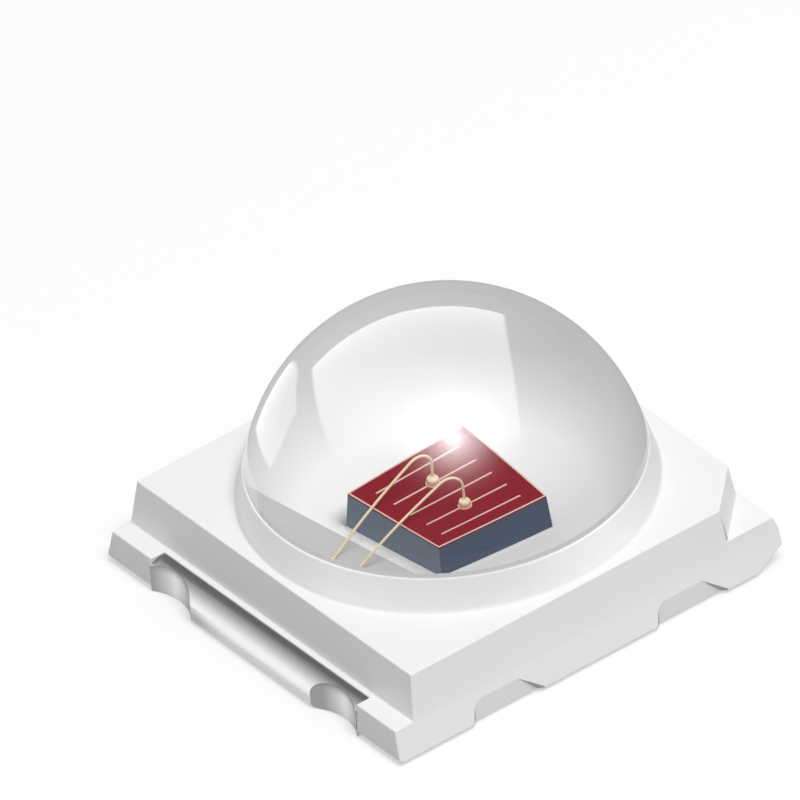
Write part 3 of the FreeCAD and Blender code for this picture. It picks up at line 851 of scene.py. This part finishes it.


# %% [markdown]
# The housing is filled thermoset: almost white and satin, with the fine grain of the eroded mould
# and a very slight mottle from the filler. The collar is painted grey with two painted highlights,
# and the silicone of the lens that crept over the rim as a thin gloss is a coat on those highlights.
# The cavity is matt and painted grey as shade, on the strip between the leads most of all. Painting
# these would need an image, so each is a mask made from radius, height or the way that the surface
# leans.

# %% White moulding
white_moulding, tree = new_material("white_moulding")
mottle, grain = streaks(tree, 1500), streaks(tree, 30000)
along, across, height = position(tree)
radius = distance(along, across)

skin = tree.mix(mottle, rgb(0.855, 0.857, 0.855), rgb(0.885, 0.885, 0.88))
# Painted shade on the steep recess ends.
skin = tree.mix(recess_end_shade(tree, along, across), skin, grey(0.45))
# Painted light on the collar: grey painted shade between two painted highlights, which also get the
# coat.
glint = painted_glints(along, across, radius)
on_collar = between(tree, height, TOP_Z + 0.01, TOP_Z + 0.05)
skin = tree.mix(on_collar, skin, tree.mix(glint, grey(0.80), grey(0.99)))

# Painted shade in the cavity: lighter grey on its wall, darker grey at its floor, on the strip
# between the leads.
cavity = 1 - between(tree, radius, COLLAR_TOP - 0.018, COLLAR_TOP - 0.012)
cavity = cavity * between(tree, height, CAVITY_FLOOR_Z - 0.04, CAVITY_FLOOR_Z - 0.02)
wall = between(tree, height, 0.44, 0.50) - between(tree, height, 0.94, 0.97)
tree.surface(tree.node("BsdfPrincipled", sockets={
    "Base Color": tree.mix(cavity, skin, tree.mix(wall, grey(0.57), grey(0.80))),
    "Roughness": 0.38 + 0.16 * mottle,
    "IOR": 1.5,
    "Coat Weight": on_collar * glint.at_most(1),
    "Coat Roughness": 0.12,
    "Normal": tree.node("Bump", sockets={
        "Height": grain, "Strength": 0.06, "Distance": 0.004 * MM}),
}))
settle(housing, "housing", white_moulding)

# %% [markdown]
# ## Plated leads
#
# Silver plate over rolled copper strip. The notches are raw punched metal, painted darker as shade
# in their hollow and with a painted highlight along their middle. All four lie on circles of one
# size, so one mask serves them: the leads' two notch axes are made symmetric by a shift along X, and
# both signs of X and Y are folded into one.

# %% Notches on both leads
NOTCH_AXIS = (TERMINAL_X + NOSE_X) / 2 + NOTCH_RADIUS - NOTCH_DEPTH
NOTCH_SHIFT = (TERMINAL_X - NOSE_X) / 2


def from_notch(along, across):
    """How far a point lies from the nearest notch's axis, along X and along Y."""
    return abs(along + NOTCH_SHIFT * MM) - NOTCH_AXIS * MM, abs(across) - NOTCH_Y * MM


# %% [markdown]
# Inside the cavity the plate is matt and nearly white, so that it throws the chip's light back. Its
# tone is painted light and shade: a painted pool of light behind the chip, painted shade towards the
# wall, and painted shade all over the wire lead. The lens enlarges this floor until it fills the
# dome, so the grey that shades the dome is painted on the floor and slides with it in other views.

# %% Painted light and shade on the cavity's floor
LIT_SPOT_X, LIT_SPOT_Y = 0.1, 0.6


def floor_light_pool(tree, along, across):
    """1 in the painted pool of light, less towards the wall and away from its brightest spot, as
    painted shade.
    """
    from_axis = distance(along, across)
    from_spot = distance(along - LIT_SPOT_X * MM, across - LIT_SPOT_Y * MM)
    near_wall = 0.34 * between(tree, from_axis, 0.72, 1.05)
    away = 0.26 * between(tree, from_spot, 0.5, 1.0)
    return (1 - near_wall) * (1 - away)


# %% [markdown]
# The roller leaves faint streaks along the strip. Under the ledge the top of the terminal gets
# painted shade, and the terminal is darker towards its bottom. Each tone is laid over the one
# before, from the plate itself up to the floor of the cavity.

# %% Tones of the plate
plated_lead, tree = new_material("plated_lead")
rolled, cloud = streaks(tree, 9000, (1, 0.06, 1)), streaks(tree, 1800)
along, across, height = position(tree)
inside = between(tree, height, 0.35, 0.40)

# The terminal's outer face is made darker towards the bottom.
darker_bottom = between(tree, height, 0.15, 0.09)
darker_bottom = darker_bottom * between(tree, abs(along), NOSE_X - TUCK - 0.01, NOSE_X - TUCK)
tone = tree.mix(cloud, rgb(0.88, 0.88, 0.87), rgb(0.95, 0.95, 0.93))
tone = tree.mix(darker_bottom * 0.6, tone, grey(0.42))

# Painted shade in the notches, with a painted highlight along their middle.
off_x, off_y = from_notch(along, across)
notch = 1 - between(tree, distance(off_x, off_y), NOTCH_RADIUS + 0.001, NOTCH_RADIUS + 0.006)
notch_highlight = 1 - between(tree, abs(off_y - 0.02 * MM), 0.0, 0.22) + 0.15 * rolled
tone = tree.mix(notch * (1 - inside), tone, tree.mix(notch_highlight, grey(0.30), grey(0.72)))

# Painted shade on the top of the terminal under the ledge, darkest at the top.
ledge_shade = between(tree, height, 0.19, 0.285) ** 1.5
tone = tree.mix(ledge_shade * (1 - inside), tone, grey(0.185))

# %% [markdown]
# The floor's tones, painted light and shade, come last. The mask for the chip's side turns in the
# gap between the two leads, so each lead gets its own floor from one material.

# %% Plated leads
chip_side = between(tree, along, -0.50, -0.47)
tone = tree.mix(inside, tone, tree.mix(cloud, grey(0.95), grey(1.0)))
# Painted shade on the chip lead's floor outside the painted pool of light, and painted grey shade all
# over the wire lead's floor.
tone = tree.mix(inside * chip_side * (1 - floor_light_pool(tree, along, across)), tone, grey(0))
tone = tree.mix(inside * (1 - chip_side), tone, grey(0.66))
tree.surface(tree.node("BsdfPrincipled", sockets={
    "Base Color": tone,
    "Metallic": 1.0 - inside * (0.7 + 0.3 * chip_side),
    "Roughness": 0.24 + 0.14 * rolled + 0.35 * inside,
    "Normal": tree.node("Bump", sockets={
        "Height": rolled, "Strength": 0.08, "Distance": 0.004 * MM}),
}))
settle(die_lead, "die_pad_lead", plated_lead)
settle(bond_lead, "wire_bond_lead", plated_lead)

# %% [markdown]
# ## The chip
#
# The chip is sawn from a wafer, so its sides are crisp and carry fine level lines from the blade.
# The sides that face along X are painted a paler blue-grey than those that face along Y, as lit and
# shaded sides. The solid node is a true block with sharp corners, as the real one is, so it stays
# and only gets a finish. Its gloss is low, because silicone on semiconductor reflects little.

# %% The chip's sides
BURIED_IOR = 1.05
X_FACE_AT = 0.353
chip_base, tree = new_material("chip_base")
sawn = streaks(tree, 14000, (0.12, 0.12, 1))
along, across, height = position(tree)
# Painted light: the sides that face along X are painted paler than those that face along Y.
shaded_y_sides = tree.mix(sawn, rgb(0.065, 0.09, 0.145), rgb(0.10, 0.125, 0.19))
lit_x_sides = tree.mix(sawn, rgb(0.20, 0.245, 0.32), rgb(0.25, 0.30, 0.38))
on_lit_sides = between(tree, abs(along), X_FACE_AT, X_FACE_AT + 0.001)
tree.surface(tree.node("BsdfPrincipled", sockets={
    "Base Color": tree.mix(on_lit_sides, shaded_y_sides, lit_x_sides),
    "Roughness": 0.3 + 0.25 * sawn,
    "IOR": BURIED_IOR,
    "Normal": tree.node("Bump", sockets={
        "Height": sawn, "Strength": 0.15, "Distance": 0.003 * MM}),
}))
dress(nodes["chip_body"], chip_base)

# %% [markdown]
# The layer that makes the light is deep red, smooth, and as good as flat, so it needs only a little
# unevenness in its colour and its gloss.

# %% The chip's top
chip_top, tree = new_material("chip_top")
haze = streaks(tree, 5000)
tree.surface(tree.node("BsdfPrincipled", sockets={
    "Base Color": tree.mix(haze, rgb(0.23, 0.004, 0.014), rgb(0.27, 0.008, 0.022)),
    "Roughness": 0.35 + 0.15 * haze,
    "IOR": BURIED_IOR,
}))
dress(nodes["light_layer"], chip_top)

# %% [markdown]
# The line round the top and the five fingers are a thin gold film, which spreads the current and
# still lets light out. Film that was laid down as vapour is matt and pale.

# %% Metal film
film_gold, tree = new_material("electrode_metal")
speckle = streaks(tree, 40000)
tree.surface(tree.node("BsdfPrincipled", sockets={
    "Base Color": tree.mix(speckle, rgb(0.86, 0.60, 0.49), rgb(0.96, 0.71, 0.59)),
    "Metallic": 0.6,
    "Roughness": 0.45 + 0.15 * speckle,
}))
for name in ["edge_electrode"] + [f"finger_{number}" for number in range(1, 6)]:
    dress(nodes[name], film_gold)

# %% [markdown]
# The chip is held by a thin layer of silver glue, grey with small lumps, of which only the edge
# shows.

# %% Bonding layer
bonding_layer, tree = new_material("bonding_layer")
lumps = streaks(tree, 16000)
tree.surface(tree.node("BsdfPrincipled", sockets={
    "Base Color": tree.mix(lumps, rgb(0.80, 0.80, 0.79), rgb(0.90, 0.90, 0.89)),
    "Metallic": 0.3,
    "Roughness": 0.5 + 0.15 * lumps,
    "Normal": tree.node("Bump", sockets={
        "Height": lumps, "Strength": 0.2, "Distance": 0.004 * MM}),
}))
dress(nodes["die_attach"], bonding_layer)

# %% [markdown]
# ## The bond wires
#
# A bond wire starts as a ball that is pressed onto its pad, rises through a thin neck, bends over
# and runs down to its lead, where the tool squashes its end into a flat tail. All of that is one
# piece of gold, so it is one tube here: rings along the route, whose width and thickness change. A
# curve with a bevel would be shorter to write, but it stays round and can't be squashed.

# %% A tube with a width and a thickness at every ring
WIRE_SIDES = 20


def tube(name, rings):
    """A closed tube through rings of (centre, across, over, half width, half thickness), in mm."""
    shape = bmesh.new()
    loops = []
    turns = [2 * math.pi * side / WIRE_SIDES for side in range(WIRE_SIDES)]
    for centre, across, over, wide, thick in rings:
        spots = [centre + across * wide * math.cos(a) + over * thick * math.sin(a) for a in turns]
        loops.append([shape.verts.new(spot * MM) for spot in spots])
    for lower, upper in zip(loops, loops[1:]):
        for side in range(WIRE_SIDES):
            after = (side + 1) % WIRE_SIDES
            shape.faces.new([lower[side], lower[after], upper[after], upper[side]])
    shape.faces.new(loops[0])
    shape.faces.new(loops[-1])
    return new_piece(name, shape)


# %% [markdown]
# The sizes are a real wire's: gold of 15 micrometres, a ball four times as wide, and a tail that is
# squashed to a fifth of the wire's thickness. The profiles list the changes of section as shares of
# these sizes: (rise, width) for the ball and the neck, (run, width, thickness) for the tail.

# %% Sizes and profiles of a wire
FILM_TOP_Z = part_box("edge_electrode")[1].z / MM
WIRE_RADIUS, BALL_RADIUS, BALL_HEIGHT = 0.0075, 0.032, 0.034
LOOP_RISE, LOOP_RADIUS = 0.12, 0.08
STITCH_X, TAIL = -(BOND_EDGE_X + 0.10), 0.044
BEND_STEPS, RUN_STEPS, RUN_BOW = 24, 12, 0.012
UP = Vector((0, 0, 1))
BALL_PROFILE = (
    (0, 0.85), (0.12, 0.92), (0.3, 0.98), (0.5, 1.0), (0.7, 0.98),
    (0.88, 0.91), (1.0, 0.8), (1.06, 0.6), (1.1, 0.4),
)
NECK_PROFILE = ((0.36, 1.2), (0.45, 1.0), (0.7, 1.0))
TAIL_PROFILE = (
    (0, 1.0, 0.9), (0.25, 1.5, 0.7), (0.5, 2.2, 0.5),
    (0.75, 2.6, 0.35), (0.92, 2.3, 0.25), (1, 1.6, 0.2),
)
print("wires start at a height in mm of", round(FILM_TOP_Z, 3), "and end at", CAVITY_FLOOR_Z)

# %% [markdown]
# The route lies in an upright plane from the pad to the stitch, so each ring needs only how far it
# is along and how high. The bend is an arc that ends where it meets the straight run down: the lean
# of that run follows from the two ends and the arc's radius. The run bows up a little, as a wire
# does that was pulled into shape and let go.

# %% The route of a wire
def wire_rings(pad_y, stitch_y):
    """Rings from the pad up, over the bend and down to the flat tail on the lead."""
    pad = Vector((0, pad_y, FILM_TOP_Z))
    level = Vector((STITCH_X, stitch_y - pad_y, 0))
    span, ahead = level.length, level.normalized()
    across = ahead.cross(UP)

    def ring(run, rise, turn, wide, thick=None):
        """A ring at a place in the wire's own plane. turn is the angle of its upper side."""
        over = -(ahead * math.cos(turn) + UP * math.sin(turn))
        return pad + ahead * run + UP * rise, across, over, wide, thick or wide

    def on_bend(turn):
        """How far along and how high the bend is at an angle."""
        return LOOP_RADIUS * (1 + math.cos(turn)), LOOP_RISE + LOOP_RADIUS * math.sin(turn)

    rings = [
        ring(0, rise * BALL_HEIGHT, math.pi, wide * BALL_RADIUS) for rise, wide in BALL_PROFILE
    ]
    rings += [
        ring(0, rise * LOOP_RISE, math.pi, wide * WIRE_RADIUS) for rise, wide in NECK_PROFILE
    ]
    end_run, end_rise = span - TAIL / 2, CAVITY_FLOOR_Z + WIRE_RADIUS - FILM_TOP_Z
    reach, fall = end_run - LOOP_RADIUS, LOOP_RISE - end_rise
    lean = math.atan2(fall, reach) + math.asin(LOOP_RADIUS / math.hypot(fall, reach))
    leave = math.pi / 2 - lean
    for step in range(BEND_STEPS + 1):
        turn = math.pi + (leave - math.pi) * step / BEND_STEPS
        rings.append(ring(*on_bend(turn), turn, WIRE_RADIUS))
    off_run, off_rise = on_bend(leave)
    for step in range(1, RUN_STEPS):
        part = step / RUN_STEPS
        bow = RUN_BOW * math.sin(math.pi * part)
        run = off_run + (end_run - off_run) * part + bow * math.cos(leave)
        rise = off_rise + (end_rise - off_rise) * part + bow * math.sin(leave)
        rings.append(ring(run, rise, leave, WIRE_RADIUS))
    for run, wide, thick in TAIL_PROFILE:
        wide, thick = wide * WIRE_RADIUS, thick * WIRE_RADIUS
        rise = CAVITY_FLOOR_Z - FILM_TOP_Z + thick
        rings.append(ring(end_run + run * TAIL, rise, math.pi / 2, wide, thick))
    return rings


# %% [markdown]
# The two wires differ only in where they start and end. Drawn gold is smooth, but at this size the
# die's marks scatter most of what it mirrors, so it is a third metallic and rather rough.

# %% Two wires
gold_wire, tree = new_material("bond_wire_gold")
drawn = streaks(tree, 30000)
tree.surface(tree.node("BsdfPrincipled", sockets={
    "Base Color": tree.mix(drawn, rgb(0.96, 0.77, 0.50), rgb(1.0, 0.85, 0.59)),
    "Metallic": 0.35,
    "Roughness": 0.4 + 0.2 * drawn,
}))
CHIP_SIDE, FINGER_MARGIN = 0.71, 0.099
FINGER_PITCH = (CHIP_SIDE - 2 * FINGER_MARGIN) / 4
for number, pad_y, stitch_y in ((1, FINGER_PITCH, 0.20), (2, -FINGER_PITCH, 0.03)):
    wire = tube(f"gold_wire_{number}", wire_rings(pad_y, stitch_y))
    wire.data.shade_smooth()
    settle(wire, f"bond_wire_{number}", gold_wire)

# %% [markdown]
# ## The clear lens
#
# Clear silicone fills the cavity and rises as a half ball in one casting. The mesh is one closed
# shape that reaches a hair into the housing and the leads, so no film of air lies between them.

# %% The lens
DOME_CENTRE_Z = 0.665
SINK = 0.01
DOME_STEPS = 96
lens_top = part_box("lens")[1].z / MM
dome_radius = lens_top - DOME_CENTRE_Z
foot_angle = math.degrees(math.asin((RIM_Z - SINK - DOME_CENTRE_Z) / dome_radius))
dome_profile = [
    (0, CAVITY_FLOOR_Z - SINK),
    (CAVITY_FLOOR_RADIUS + SINK, CAVITY_FLOOR_Z - SINK),
    (MOUTH_RADIUS + SINK, RIM_Z - SINK),
]
dome_profile += round_corner((0, DOME_CENTRE_Z), dome_radius, foot_angle, 90, DOME_STEPS)[:-1]
dome = turned("lens_dome", dome_profile + [(0, lens_top)])
dome.data.shade_smooth()
dome.data.set_sharp_from_angle(angle=math.radians(30))
print("dome radius in mm:", round(dome_radius, 3))

# %% [markdown]
# The material bends light as silicone does. Light on its way to a lamp goes straight through,
# because finding a lamp through a curved surface would take far too many samples. Seen at a slant
# the silicone is painted a little greyer by Layer Weight: painted shade along the dome's rim.

# %% Clear silicone
SILICONE_IOR = 1.54
RIM_SHADE = [(0, 1.0), (0.6, 0.99), (0.85, 0.96), (1, 0.89)]
clear_lens, tree = new_material("clear_lens")
# Painted shade: greyer where the dome is seen at a slant.
slant = tree.node("LayerWeight", sockets={"Blend": 0.5}, output="Facing")
bending = tree.node("BsdfPrincipled", sockets={
    "Base Color": tree.node("ValToRGB", {"stops": RIM_SHADE}, {"Fac": slant}),
    "Roughness": 0.0,
    "IOR": SILICONE_IOR,
    "Transmission Weight": 1.0,
})
straight = tree.node("BsdfTransparent", sockets={"Color": grey(1)})
in_shadow = ray(tree, "Is Shadow Ray")
tree.surface(tree.node("MixShader", sockets={0: in_shadow, 1: bending, 2: straight}))
settle(dome, "lens", clear_lens)
